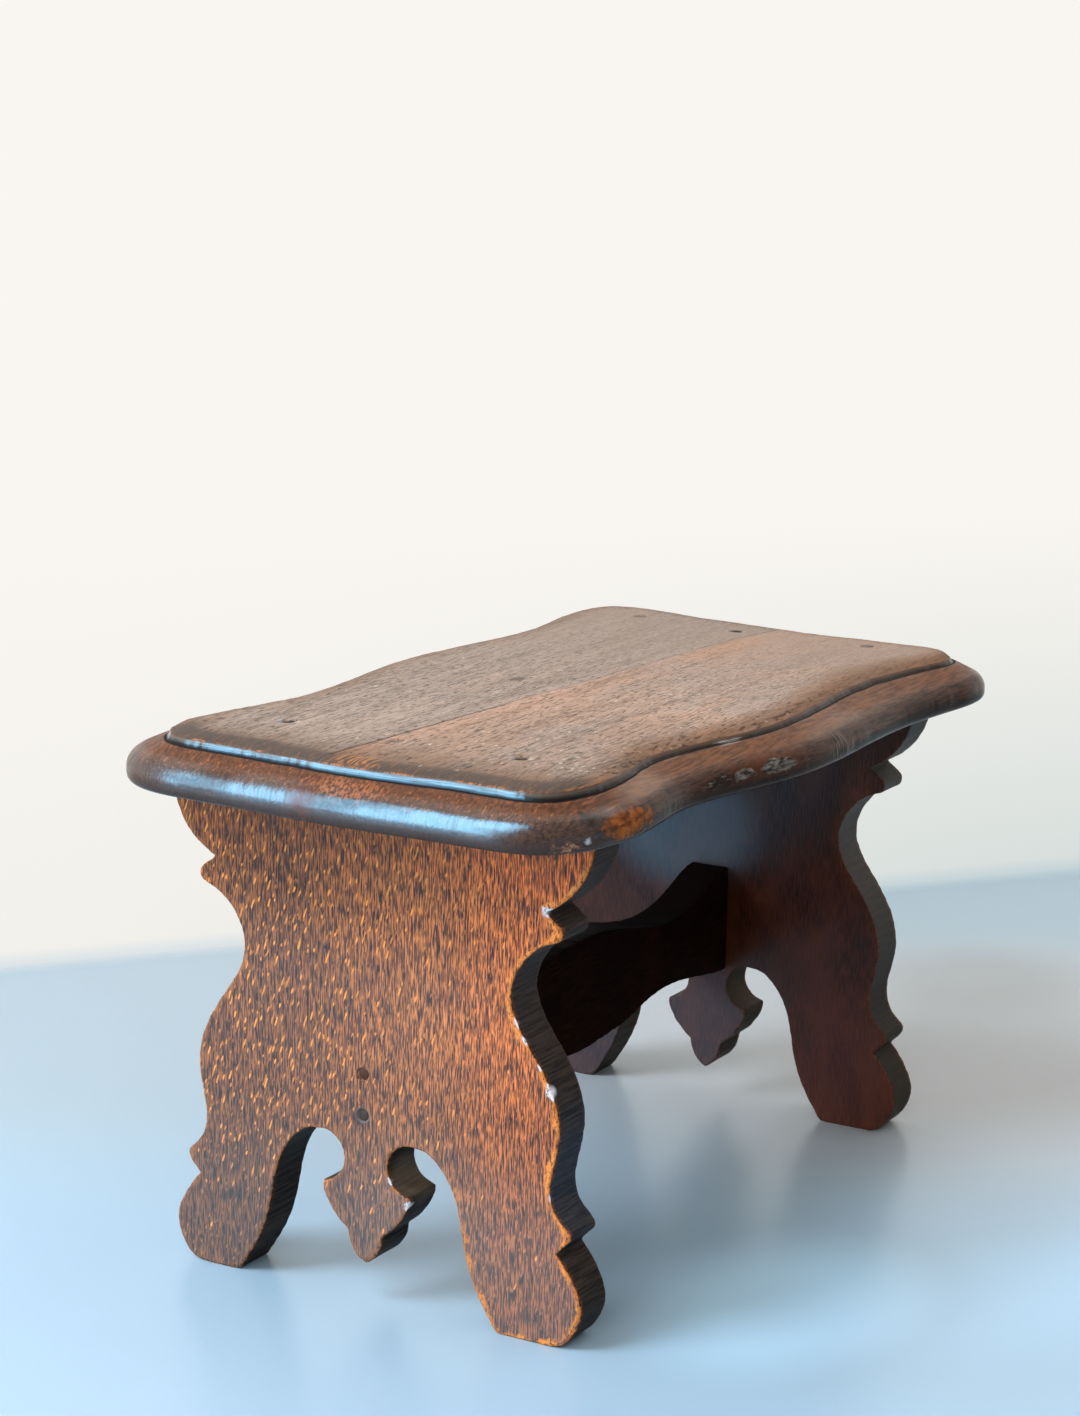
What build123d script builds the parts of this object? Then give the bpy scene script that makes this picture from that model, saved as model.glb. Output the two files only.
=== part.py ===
from build123d import *
import os

os.makedirs("parts", exist_ok=True)

# A small wooden footstool. Origin on the floor under the middle of the seat, +X along the
# length, +Y across it and +Z up. The end board at -X is the left one.

# Main sizes, in millimetres.
board_thick = 19.5  # end boards
base_height = 194.0  # floor to the underside of the seat
foot_half = 89.5  # middle of an end board to the widest point of a foot
base_middle_x = 7.8  # the seat overhangs the left end board more than the right one
base_middle_y = 5.8  # and the front of the base more than its back

arch_half = 57.5  # half the width of the arch at the floor
arch_height = 64.2  # floor to the crown of the arch
pendant_half = 19.3  # half the width of the pendant over its two cusps
pendant_clear = 14.6  # floor to the tip of the pendant
cusp_flat = 2.2  # blunt end of each cusp
arch_shift = 3.2  # arch, pendant and stretcher stand this far off the middle of their boards

rail_thick = 18.0  # stretcher
rail_bottom = 59.5  # floor to its lowest point
rail_depth = 49.5  # from there to its highest point

seat_length = 372.4
seat_overhang = 36.2  # of the seat past the end boards, mean of its two ends
seat_width = 219.5
seat_thick = 21.0
joint_left = 11.8  # where the glued joint meets the left end of the seat, measured across
joint_right = -10.2  # and the right end

# The raised flat field of the seat falls a little at its rim.
step_height = 4.0  # field above the foot of the step round it
field_fall = 1.5  # fall of the field at its rim

# Cut nails with oblong heads hold the seat.
nail_head_long = 6.0
nail_head_wide = 4.0
nail_head_thick = 1.4
nail_shank = 2.8
nail_length = 44.0
nail_tip = 0.8
nail_sunk = 0.4  # all heads lie this far under the surface

# Two smaller nails with round heads go through each end board into the stretcher.
pin_head = 4.4
pin_head_thick = 1.2
pin_shank = 2.0
pin_length = 40.0
pin_offset = 1.3  # across, from the middle of the stretcher
pin_gap = 0.1  # round a head in its pocket

overrun = 3.0  # of every cut past the surface it opens

# Outer edge of an end board, from the seat down to the floor. Each point is a share of
# foot_half and a share of base_height.
crown_shares = [(1.017, 1.0), (0.968, 0.907), (0.799, 0.839)]
lip_shares = [(0.858, 0.818), (0.882, 0.802), (0.856, 0.7835)]
waist_shares = [(0.737, 0.754), (0.649, 0.669), (0.760, 0.561)]
waist_shares += [(0.866, 0.472), (0.885, 0.412), (0.847, 0.307)]
bump_shares = [(0.935, 0.2335), (0.946, 0.2215), (0.932, 0.209)]
foot_shares = [(0.880, 0.184), (0.941, 0.1495), (1.0, 0.087), (0.958, 0.027), (0.849, 0.0)]

# Inner edge of a leg, as shares of arch_half and arch_height. Then the round eye beside the
# pendant, the shoulder under its cusp and the drop down to its tip, as shares of pendant_half
# and arch_height.
leg_shares = [(1.0, 0.0), (0.875, 0.176), (0.777, 0.374)]
leg_shares += [(0.722, 0.607), (0.652, 0.807), (0.535, 0.942)]
eye_shares = [(1.14, 1.0), (0.497, 0.833), (0.995, 0.6915)]
shoulder_shares = [(0.803, 0.5375), (0.394, 0.4205)]
drop_shares = [(0.290, 0.310)]

# Edges of the stretcher from its middle to its end, as shares of half its length and of
# rail_depth.
rail_top_shares = [(0.0, 0.955), (0.19, 0.92), (0.36, 0.825), (0.55, 0.75)]
rail_top_shares += [(0.66, 0.76), (0.79, 0.835), (0.9, 0.945), (1.0, 1.0)]
rail_low_shares = [(0.0, 0.0), (0.13, 0.02), (0.29, 0.06), (0.41, 0.13)]
rail_low_shares += [(0.55, 0.175), (0.69, 0.155), (0.82, 0.105), (1.0, 0.05)]

# Wavy outlines of the seat and of its raised field, once round from the middle of the left end:
# left end and back corner, back edge, back corner and right end, front corner, then the front
# edge. Each point is a share of half the seat's length and half its width. The moulding between
# the two is cut by eye and isn't equally wide all round.
seat_shares = [(-1.0, -0.056), (-0.982, 0.498), (-0.945, 0.819), (-0.798, 0.991)]
seat_shares += [(-0.489, 0.899), (0.032, 0.936), (0.52, 0.864), (0.757, 0.911)]
seat_shares += [(0.978, 0.832), (0.992, 0.497), (0.989, -0.065), (0.962, -0.653)]
seat_shares += [(0.896, -0.95), (0.679, -0.987), (0.377, -0.961), (-0.142, -0.975)]
seat_shares += [(-0.513, -0.88), (-0.746, -0.92), (-0.972, -0.778), (-0.997, -0.514)]
field_shares = [(-0.94, -0.06), (-0.915, 0.49), (-0.885, 0.747), (-0.779, 0.837)]
field_shares += [(-0.5, 0.767), (0.034, 0.818), (0.523, 0.748), (0.765, 0.798)]
field_shares += [(0.918, 0.735), (0.928, 0.46), (0.92, -0.059), (0.892, -0.643)]
field_shares += [(0.845, -0.853), (0.686, -0.856), (0.374, -0.799), (-0.136, -0.843)]
field_shares += [(-0.517, -0.748), (-0.746, -0.81), (-0.915, -0.723), (-0.927, -0.517)]

# Section through the moulded edge: an eased lower corner, the rounded nose, the slope up to the
# step, the step and the fall of the field. First the share of the way from the outline of the
# seat in to that of the field, then the share of the height from the underside to the foot of
# the step, and above that, of the height of the step.
nose_profile_shares = [(0.185, 0.0), (0.054, 0.041), (0.0, 0.141), (0.0, 0.352)]
nose_profile_shares += [(0.021, 0.468), (0.083, 0.574), (0.181, 0.664), (0.303, 0.731), (1.0, 1.0)]
field_width_share = 1.69  # of the way in, where the field turns flat

# Nails in the seat, from the middle of the edge of an end board under them, as shares of
# board_thick and foot_half. Then the heights of the stretcher nails, as shares of base_height.
nails_left_shares = [(0.25, 0.541), (-0.025, -0.029), (-0.015, -0.617)]
nails_right_shares = [(0.095, 0.537), (-0.22, -0.033), (-0.125, -0.727)]
pin_height_shares = (0.376, 0.457)

# Sizes that follow from those above.
seat_half_length = seat_length / 2
seat_half_width = seat_width / 2
base_half = seat_half_length - seat_overhang
rail_half = base_half - board_thick
arch_middle = base_middle_y + arch_shift
seat_top = base_height + seat_thick
nose_top = seat_top - step_height


def place(shares, wide, high, middle=0, side=1, low=0):
    """Turn shares into points, out from a middle line to one side of it and up from a base line."""
    return [(middle + side * x * wide, low + y * high) for x, y in shares]


def draw_outer_edge(side):
    """Scroll-sawn outer edge of one side of an end board; returns its two ends."""
    crown = place(crown_shares, foot_half, base_height, base_middle_y, side)
    lip = place(lip_shares, foot_half, base_height, base_middle_y, side)
    waist = place(waist_shares, foot_half, base_height, base_middle_y, side)
    bump = place(bump_shares, foot_half, base_height, base_middle_y, side)
    foot = place(foot_shares, foot_half, base_height, base_middle_y, side)
    ThreePointArc(*crown)
    Line(crown[-1], lip[0])
    ThreePointArc(*lip)
    Spline(lip[-1], *waist, bump[0])
    ThreePointArc(*bump)
    Line(bump[-1], foot[0])
    Spline(*foot, tangents=[(side, -1), (-side, 0)])
    return crown[0], foot[-1]


def draw_arch_edge(side):
    """Inner edge of one leg, the eye and one side of the pendant; returns its two ends."""
    leg = place(leg_shares, arch_half, arch_height, arch_middle, side)
    eye = place(eye_shares, pendant_half, arch_height, arch_middle, side)
    shoulder = place(shoulder_shares, pendant_half, arch_height, arch_middle, side)
    drop = place(drop_shares, pendant_half, arch_height, arch_middle, side)
    cusp = (arch_middle + side * pendant_half, eye[-1][1] - cusp_flat)
    tip = (arch_middle, pendant_clear)
    Spline(*leg, eye[0], tangents=[(-2 * side, 3), (-side, 0)])
    ThreePointArc(*eye)
    Line(eye[-1], cusp)
    ThreePointArc(cusp, *shoulder)
    ThreePointArc(shoulder[-1], *drop, tip)
    return leg[0], tip


def draw_end_board():
    """Whole closed outline of an end board, in the BuildLine that is open."""
    crown_back, foot_back = draw_outer_edge(1)
    crown_front, foot_front = draw_outer_edge(-1)
    inner_back, tip = draw_arch_edge(1)
    inner_front, tip = draw_arch_edge(-1)
    Line(crown_back, crown_front)
    Line(foot_back, inner_back)
    Line(foot_front, inner_front)


def draw_wave(way_in):
    """Closed smooth outline of the seat, or one some share of the way in to that of its field."""
    shares = []
    for (x, y), (field_x, field_y) in zip(seat_shares, field_shares):
        shares.append((x + way_in * (field_x - x), y + way_in * (field_y - y)))
    points = place(shares, seat_half_length, seat_half_width)
    Spline(*points, points[0], tangents=[(0, 1), (0, 1)], tangent_scalars=[1, 1])


# Seat nails, driven down into the end boards: an oblong head on a shank that is cut from sheet,
# so it has one thickness and tapers in its width only.
board_out = base_half - board_thick / 2
nail_places = []
for side, nail_shares in ((-1, nails_left_shares), (1, nails_right_shares)):
    board_middle = base_middle_x + side * board_out
    for x, y in nail_shares:
        nail_places.append((board_middle + x * board_thick, base_middle_y + y * foot_half))
nail_top = seat_top - nail_sunk
with BuildPart() as seat_nails:
    with BuildSketch(Plane.XY.offset(nail_top)):
        with Locations(*nail_places):
            Rectangle(nail_head_long, nail_head_wide)
    extrude(amount=-nail_head_thick)
    for nail_x, nail_y in nail_places:
        taper = [(nail_x - nail_shank / 2, nail_top - nail_head_thick)]
        taper += [(nail_x + nail_shank / 2, nail_top - nail_head_thick)]
        taper += [(nail_x + nail_tip / 2, nail_top - nail_length)]
        taper += [(nail_x - nail_tip / 2, nail_top - nail_length)]
        with BuildSketch(Plane.XZ.offset(-nail_y - nail_shank / 2)):
            with BuildLine():
                Polyline(*taper, close=True)
            make_face()
        extrude(amount=nail_shank)
seat_nails.part.label = "seat_nails"
export_step(seat_nails.part, "parts/seat_nails.step")

# Stretcher nails: a round head and a square shank, two through each end board.
pin_across = arch_middle + pin_offset
pin_places = [(pin_across, share * base_height) for share in pin_height_shares]
pin_ends = ((base_middle_x - base_half + nail_sunk, 1), (base_middle_x + base_half - nail_sunk, -1))
with BuildPart() as stretcher_nails:
    for start, way in pin_ends:
        with BuildSketch(Plane.YZ.offset(start)):
            with Locations(*pin_places):
                Circle(pin_head / 2)
        extrude(amount=way * pin_head_thick)
        with BuildSketch(Plane.YZ.offset(start)):
            with Locations(*pin_places):
                Rectangle(pin_shank, pin_shank)
        extrude(amount=way * pin_length)
stretcher_nails.part.label = "stretcher_nails"
export_step(stretcher_nails.part, "parts/stretcher_nails.step")

# What the nails take out of the wood: their own shape and the pockets over their sunk heads.
with BuildPart() as seat_nail_holes:
    add(seat_nails.part)
    with BuildSketch(Plane.XY.offset(nail_top)):
        with Locations(*nail_places):
            Rectangle(nail_head_long, nail_head_wide)
    extrude(amount=overrun)

with BuildPart() as stretcher_nail_holes:
    add(stretcher_nails.part)
    for start, way in pin_ends:
        with BuildSketch(Plane.YZ.offset(start + way * pin_head_thick)):
            with Locations(*pin_places):
                Circle(pin_head / 2 + pin_gap)
        extrude(amount=-way * (pin_head_thick + overrun))

# End boards: one scroll-sawn outline, with an arch between the feet and a pendant in the arch.
with BuildPart() as end_board_left:
    with BuildSketch(Plane.YZ.offset(base_middle_x - base_half)):
        with BuildLine():
            draw_end_board()
        make_face()
    extrude(amount=board_thick)
    add(seat_nail_holes.part, mode=Mode.SUBTRACT)
    add(stretcher_nail_holes.part, mode=Mode.SUBTRACT)
end_board_left.part.label = "end_board_left"
export_step(end_board_left.part, "parts/end_board_left.step")

with BuildPart() as end_board_right:
    with BuildSketch(Plane.YZ.offset(base_middle_x + base_half)):
        with BuildLine():
            draw_end_board()
        make_face()
    extrude(amount=-board_thick)
    add(seat_nail_holes.part, mode=Mode.SUBTRACT)
    add(stretcher_nail_holes.part, mode=Mode.SUBTRACT)
end_board_right.part.label = "end_board_right"
export_step(end_board_right.part, "parts/end_board_right.step")

# Stretcher: a board on edge between the inner faces, waved above and below.
top_edge = place(rail_top_shares[:0:-1], rail_half, rail_depth, base_middle_x, -1, rail_bottom)
top_edge += place(rail_top_shares, rail_half, rail_depth, base_middle_x, 1, rail_bottom)
low_edge = place(rail_low_shares[:0:-1], rail_half, rail_depth, base_middle_x, -1, rail_bottom)
low_edge += place(rail_low_shares, rail_half, rail_depth, base_middle_x, 1, rail_bottom)
with BuildPart() as stretcher:
    with BuildSketch(Plane.XZ.offset(-arch_middle - rail_thick / 2)):
        with BuildLine():
            Spline(*top_edge)
            Line(top_edge[-1], low_edge[-1])
            Spline(*low_edge)
            Line(top_edge[0], low_edge[0])
        make_face()
    extrude(amount=rail_thick)
    add(stretcher_nail_holes.part, mode=Mode.SUBTRACT)
stretcher.part.label = "stretcher"
export_step(stretcher.part, "parts/stretcher.step")

# Seat, shaped as one board first: straight bands between wavy outlines, one above another.
nose_high = nose_top - base_height
rings = [(way_in, base_height + share * nose_high) for way_in, share in nose_profile_shares]
rings += [(1, seat_top - field_fall), (field_width_share, seat_top)]
with BuildPart() as seat:
    for way_in, ring_height in rings:
        with BuildSketch(Plane.XY.offset(ring_height)):
            with BuildLine():
                draw_wave(way_in)
            make_face()
    loft(ruled=True)

# The glued joint runs a little askew and divides the seat into a back and a front board.
joint_run = Vector(seat_length, joint_right - joint_left, 0)
joint_plane = Plane(
    origin=(-seat_half_length, joint_left, 0),
    x_dir=joint_run,
    z_dir=joint_run.cross(Vector(0, 0, -1)),
)
with BuildPart() as seat_board_back:
    add(seat.part)
    add(seat_nail_holes.part, mode=Mode.SUBTRACT)
    split(bisect_by=joint_plane, keep=Keep.TOP)
seat_board_back.part.label = "seat_board_back"
export_step(seat_board_back.part, "parts/seat_board_back.step")

with BuildPart() as seat_board_front:
    add(seat.part)
    add(seat_nail_holes.part, mode=Mode.SUBTRACT)
    split(bisect_by=joint_plane, keep=Keep.BOTTOM)
seat_board_front.part.label = "seat_board_front"
export_step(seat_board_front.part, "parts/seat_board_front.step")
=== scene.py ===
import math

import bmesh
import bpy
import numpy as np
from mathutils import Matrix, Vector
from mathutils.geometry import delaunay_2d_cdt


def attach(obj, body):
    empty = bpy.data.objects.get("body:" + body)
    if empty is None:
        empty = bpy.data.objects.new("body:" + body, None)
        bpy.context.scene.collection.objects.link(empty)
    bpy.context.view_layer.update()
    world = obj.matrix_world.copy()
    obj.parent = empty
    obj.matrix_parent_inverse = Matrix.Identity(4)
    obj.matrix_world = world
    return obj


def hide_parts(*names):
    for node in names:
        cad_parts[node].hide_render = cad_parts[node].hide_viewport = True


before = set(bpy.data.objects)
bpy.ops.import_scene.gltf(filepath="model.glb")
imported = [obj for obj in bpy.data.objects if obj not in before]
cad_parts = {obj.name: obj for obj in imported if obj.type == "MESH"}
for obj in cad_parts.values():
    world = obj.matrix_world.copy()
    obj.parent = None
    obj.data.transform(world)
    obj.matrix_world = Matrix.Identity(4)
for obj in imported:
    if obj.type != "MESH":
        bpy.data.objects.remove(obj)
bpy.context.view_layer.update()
scene = bpy.context.scene
scene.view_settings.view_transform = "Standard"

# Where the stool stands and how it is looked at. A pale blue painted table runs up to an
# off-white wall, which crosses the view at a slant. The eye is a little above the seat and looks
# along the stool from its left end, through a long lens.
MM = 0.001
eye_place = np.array([-1078.47, -597.02, 460.3])
eye_turn, eye_lift, eye_roll = math.radians(-60.262), math.radians(11.7345), math.radians(1.1184)

camera_data = bpy.data.cameras.new("camera")
camera_data.sensor_fit = "VERTICAL"
camera_data.sensor_height = 36.0
camera_data.lens = 80.013
camera_data.clip_start, camera_data.clip_end = 0.05, 60.0
camera = bpy.data.objects.new("camera", camera_data)
scene.collection.objects.link(camera)
scene.camera = camera
back_way = np.array([math.sin(eye_turn) * math.cos(eye_lift),
                     -math.cos(eye_turn) * math.cos(eye_lift), math.sin(eye_lift)])
level_way = np.cross((0.0, 0.0, 1.0), back_way)
level_way /= np.linalg.norm(level_way)
rise_way = np.cross(back_way, level_way)
right_way = math.cos(eye_roll) * level_way + math.sin(eye_roll) * rise_way
up_way = -math.sin(eye_roll) * level_way + math.cos(eye_roll) * rise_way
turned = Matrix(np.column_stack([right_way, up_way, back_way]).tolist()).to_4x4()
camera.matrix_world = Matrix.Translation(Vector(eye_place * MM)) @ turned


def new_material(name):
    """An empty node material. The shader nodes that follow go into its tree."""
    global tree
    material = bpy.data.materials.new(name)
    material.use_nodes = True
    tree = material.node_tree
    tree.nodes.clear()
    return material


def node(kind, inputs=None, **settings):
    """Add a shader node with these settings. An input is a plain value or another node's output;
    a colour has three numbers, or one if it is grey."""
    made = tree.nodes.new("ShaderNode" + kind)
    for name, value in settings.items():
        setattr(made, name, value)
    for key, value in (inputs or {}).items():
        socket = made.inputs[key]
        if isinstance(value, bpy.types.NodeSocket):
            tree.links.new(value, socket)
        elif socket.type == "RGBA":
            socket.default_value = (*np.broadcast_to(value, 3).tolist(), 1.0)
        else:
            socket.default_value = value
    return made


def maths(what, *values):
    """The output of one Math node, or of a row of them that takes in the values one by one."""
    if what == "MULTIPLY_ADD" or len(values) < 3:
        return node("Math", dict(enumerate(values)), operation=what).outputs[0]
    return maths(what, maths(what, *values[:-1]), values[-1])


def times(*values):
    return maths("MULTIPLY", *values)


def plus(*values):
    return maths("ADD", *values)


def most(*values):
    return maths("MAXIMUM", *values)


def rest(share):
    return maths("SUBTRACT", 1, share)


def vectors(what, *values):
    """One Vector Math node's output."""
    made = node("VectorMath", dict(enumerate(values)), operation=what)
    return made.outputs["Value" if what in ("DOT_PRODUCT", "LENGTH") else "Vector"]


def blend(share, first, second, how="MIX"):
    """Mix two colours, or two numbers, by a share; how is the blend type."""
    return node("Mix", {0: share, 6: first, 7: second}, data_type="RGBA", blend_type=how,
                clamp_factor=True).outputs[2]


def layers(colour, *coats):
    """Lay coats over a colour, each given as its share, its own colour and, if it isn't to cover,
    its blend type. Where the share is several, their product counts."""
    for share, *coat in coats:
        colour = blend(times(*share) if isinstance(share, tuple) else share, colour, *coat)
    return colour


def ramp(value, low, high, to_low=0.0, to_high=1.0, smooth=True):
    """Map a value from one range to another, held at both ends."""
    return node("MapRange", {"Value": value, "From Min": low, "From Max": high, "To Min": to_low,
                             "To Max": to_high},
                interpolation_type="SMOOTHSTEP" if smooth else "LINEAR").outputs["Result"]


def spot(place, centre, reach, full=0.3):
    """1 in the middle of an oval spot and 0 beyond its reach, both in millimetres. full is the share
    of the reach that stays at 1."""
    off = vectors("SUBTRACT", place, [c * MM for c in centre])
    off = vectors("MULTIPLY", off, [1 / (r * MM) for r in reach])
    return ramp(vectors("LENGTH", off), 1, full)


def place_object(name, data):
    made = bpy.data.objects.new(name, data)
    scene.collection.objects.link(made)
    return made


def make_piece(name, points, faces, marks=None):
    """A mesh object from points in millimetres, its faces, and named numbers for each point."""
    mesh = bpy.data.meshes.new(name)
    mesh.from_pydata((np.asarray(points) * MM).tolist(), [], faces)
    for mark, values in (marks or {}).items():
        numbers = mesh.attributes.new(mark, "FLOAT", "POINT").data
        numbers.foreach_set("value", np.asarray(values, np.float32))
    mesh.validate()
    return place_object(name, mesh)


# Table and wall: two large flats that meet along a slanted line behind the stool. The table is
# painted, with a darker patch and with paler patches of painted light where the stool's shadow
# falls. The wall glows in its own colour whatever light falls on it, with painted shade over its
# lowest part, deeper to the right and at its foot, and by the wall the table glows with that shade.
wall_foot = np.array([[124.7, 404.0], [629.9, 12.9]])
wall_run = (wall_foot[1] - wall_foot[0]) / np.linalg.norm(wall_foot[1] - wall_foot[0])
wall_out = np.array([-wall_run[1], wall_run[0]])
wall_far = float(wall_foot[0] @ wall_out)
table_reach, wall_high = 6000.0, 5000.0
# within this reach of the wall the table glows with the painted shade of the wall's foot
glow_before, glow_behind = 18, 8  # where the table's paint turns to the wall's foot
corners = [wall_foot[0] + side * table_reach * wall_run for side in (-1, 1)]
corners += [corner - table_reach * wall_out for corner in corners[::-1]]
table = make_piece("table", [(*corner, 0) for corner in corners], [(3, 2, 1, 0)])
left, right = corners[:2]
wall = make_piece("wall", [(*left, 0), (*right, 0), (*right, wall_high), (*left, wall_high)],
                  [(0, 1, 2, 3)])

near_paint, left_paint, right_paint = (0.335, 0.485, 0.62), (0.335, 0.43, 0.5), (0.425, 0.445, 0.465)
last_paint, wall_paint = (0.35, 0.45, 0.52), (0.947, 0.918, 0.878)
# painted shade of the wall: over its lowest part, and deeper still at its foot, at its left and right
low_shade_left, low_shade_right = (0.885, 0.873, 0.835), (0.68, 0.73, 0.71)
foot_shade_left, foot_shade_right = (0.73, 0.78, 0.8), (0.565, 0.66, 0.69)


def distance_along(way):
    """How far each place lies along a level way, in metres."""
    return vectors("DOT_PRODUCT", place, (*way.tolist(), 0))


def wall_glow(share, **shader):
    """Mix a shader with what the wall shows of itself, and end the material with it."""
    plain, glow = (node(kind, inputs).outputs[0] for kind, inputs in shader.items())
    node("OutputMaterial", {0: node("MixShader", {0: share, 1: plain, 2: glow}).outputs[0]})


material = new_material("table_paint")
place = node("TexCoord").outputs["Object"]
away = distance_along(wall_out + 0.45 * wall_run)
near_wall = ramp(distance_along(wall_out), (wall_far - glow_before) * MM, (wall_far + glow_behind) * MM)
run = distance_along(wall_run)
paint = blend(ramp(run, -0.12, 0.22), left_paint, right_paint)
paint = layers(
    near_paint,
    (ramp(away, -0.08, 0.16), blend(ramp(away, 0.34, 0.5), paint, last_paint)),
    # the first two are paler patches of painted light where the stool's shadow falls; the third is a darker
    # patch
    (spot(place, (85, -180, 0), (200, 115, 1), 0.25), (1.4, 1.46, 1.52), "MULTIPLY"),
    (spot(place, (-58, -125, 0), (95, 64, 1), 0.25), (1.4, 1.48, 1.5), "MULTIPLY"),
    (spot(place, (380, -25, 0), (90, 75, 1), 0.25), (0.84, 0.83, 0.8), "MULTIPLY"))
# by the wall the table glows with the painted shade of the wall's foot
wall_glow(near_wall, BsdfPrincipled={"Base Color": paint, "Roughness": 0.27, "IOR": 1.45},
          Emission={"Color": blend(ramp(run, -0.15, 0.46), foot_shade_left, foot_shade_right)})
table.data.materials.append(material)

material = new_material("wall_paint")
place = node("TexCoord").outputs["Object"]
height = node("SeparateXYZ", {0: place}).outputs["Z"]
rays = node("LightPath").outputs
right = ramp(distance_along(wall_run), -0.15, 0.46)
# painted shade: darker over the wall's lowest 21 cm and darker again at its foot, more so to the right
tint = blend(ramp(height, 0.0, 0.21, smooth=False), blend(right, low_shade_left, low_shade_right), wall_paint)
tint = blend(ramp(height, 0.0, 0.009), blend(right, foot_shade_left, foot_shade_right), tint)
wall_glow(most(rays["Is Camera Ray"], rays["Is Glossy Ray"]), BsdfDiffuse={"Color": wall_paint},
          Emission={"Color": tint})
wall.data.materials.append(material)

# Light: a tall window on the left, a broad weak one behind the eye, a pale ceiling, and a plain
# room. The sky in the window is a lamp that only reflections see, and they see no other.
world = bpy.data.worlds.new("room")
scene.world = world
world.use_nodes = True
room = world.node_tree.nodes["Background"].inputs
room["Color"].default_value, room["Strength"].default_value = (1, 0.95, 0.9, 1), 0.34
# each lamp: way out from the stool, distance, size, watts, tint and the rays that don't see it
lamps = [("window", (-0.6, 0.455, 0.66), 2.2, (0.85, 1.9), 56, (0.84, 0.92, 1), "glossy"),
         ("sky", (-0.686, 0.498, 0.53), 2.2, (1.75, 2.8), 240, (0.265, 0.67, 1), "diffuse"),
         ("room_side", (-1, -0.25, 0.55), 2.6, (1.8, 1.4), 30, (1, 0.95, 0.88), "glossy"),
         ("ceiling", (0.35, -0.5, 1), 3, (3, 3), 30, (1, 0.95, 0.88), "glossy")]
for name, way, distance, size, watts, tint, unseen in lamps:
    lamp_data = bpy.data.lights.new(name, "AREA")
    lamp_data.shape = "RECTANGLE"
    lamp_data.size, lamp_data.size_y = size
    lamp_data.energy, lamp_data.color = watts, tint
    lamp = place_object(name, lamp_data)
    way = Vector(way).normalized()
    turn = way.to_track_quat("Z", "Y").to_matrix().to_4x4()
    lamp.matrix_world = Matrix.Translation(way * distance + Vector((0, 0, 0.1))) @ turn
    setattr(lamp, "visible_" + unseen, False)


# End boards: two scroll-sawn boards of straight-grained wood that stand on their feet, with an
# arch between the feet and a pendant in it. Their arrises are worn and chipped, the sawn edges
# show the marks of the saw, and the seat is nailed down on their upper ends.
board_thick, base_half, base_middle_x, base_middle_y = 19.5, 150.0, 7.8, 5.8
base_high, foot_half = 194.0, 89.5
arch_half, arch_high, arch_middle, pendant_half, pendant_clear, cusp_flat = 57.5, 64.2, 9.0, 19.3, 14.6, 2.2
crown = [(1.017, 1), (0.968, 0.907), (0.799, 0.839)]
lip = [(0.858, 0.818), (0.882, 0.802), (0.856, 0.7835)]
waist = [(0.737, 0.754), (0.649, 0.669), (0.76, 0.561), (0.866, 0.472), (0.885, 0.412), (0.847, 0.307)]
bump = [(0.935, 0.2335), (0.946, 0.2215), (0.932, 0.209)]
foot = [(0.88, 0.184), (0.941, 0.1495), (1, 0.087), (0.958, 0.027), (0.849, 0)]
leg = [(1, 0), (0.875, 0.176), (0.777, 0.374), (0.722, 0.607), (0.652, 0.807), (0.535, 0.942)]
arch_eye = [(1.14, 1), (0.497, 0.833), (0.995, 0.6915)]
shoulder = [(0.803, 0.5375), (0.394, 0.4205)]
pendant_drop = (0.29, 0.31)
pin_places = [(10.3, 72.9), (10.3, 88.7)]


def smooth_line(points, first=None, last=None, pull=1.4, closed=False, step=0.7, spans=None):
    """Evenly bending line through the points. Between two of them it is a cubic of the distance
    along their chord, whose slopes make the bend the same on both sides of every point. A free
    end takes its slope from the cubic through the four nearest points. spans says how many
    pieces each chord gets, where two lines have to match."""
    points = np.array(points, float)
    if closed:
        points = np.vstack([points, points[:1]])
    chord = np.linalg.norm(np.diff(points, axis=0), axis=1)
    rise = np.diff(points, axis=0) / chord[:, None]
    count = len(points)
    matrix, wanted = np.zeros((count, count)), np.zeros((count, points.shape[1]))
    inner = np.arange(1, count - 1)
    matrix[inner, inner - 1], matrix[inner, inner + 1] = 1 / chord[:-1], 1 / chord[1:]
    matrix[inner, inner] = 2 / chord[:-1] + 2 / chord[1:]
    wanted[inner] = 3 * (rise[:-1] / chord[:-1, None] + rise[1:] / chord[1:, None])
    along = np.concatenate([[0.0], np.cumsum(chord)])
    for row, way, near in ((0, first, slice(0, 4)), (count - 1, last, slice(count - 1, count - 5, -1))):
        matrix[row, row] = 1.0
        if way is not None:
            wanted[row] = pull * np.array(way, float) / np.linalg.norm(way)
        else:
            powers = np.vander(along[near] - along[row], 4)
            wanted[row] = np.linalg.solve(powers, points[near])[2]
    slope = np.linalg.solve(matrix, wanted)
    parts = []
    for i in range(count - 1):
        u = np.linspace(0, 1, spans[i] + 1 if spans else max(3, int(chord[i] / step) + 1))[:-1, None]
        parts.append((2 * u**3 - 3 * u**2 + 1) * points[i] + (u**3 - 2 * u**2 + u) * chord[i] * slope[i]
                     + (3 * u**2 - 2 * u**3) * points[i + 1] + (u**3 - u**2) * chord[i] * slope[i + 1])
    if not closed:
        parts.append(points[-1:])
    return np.vstack(parts)


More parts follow.
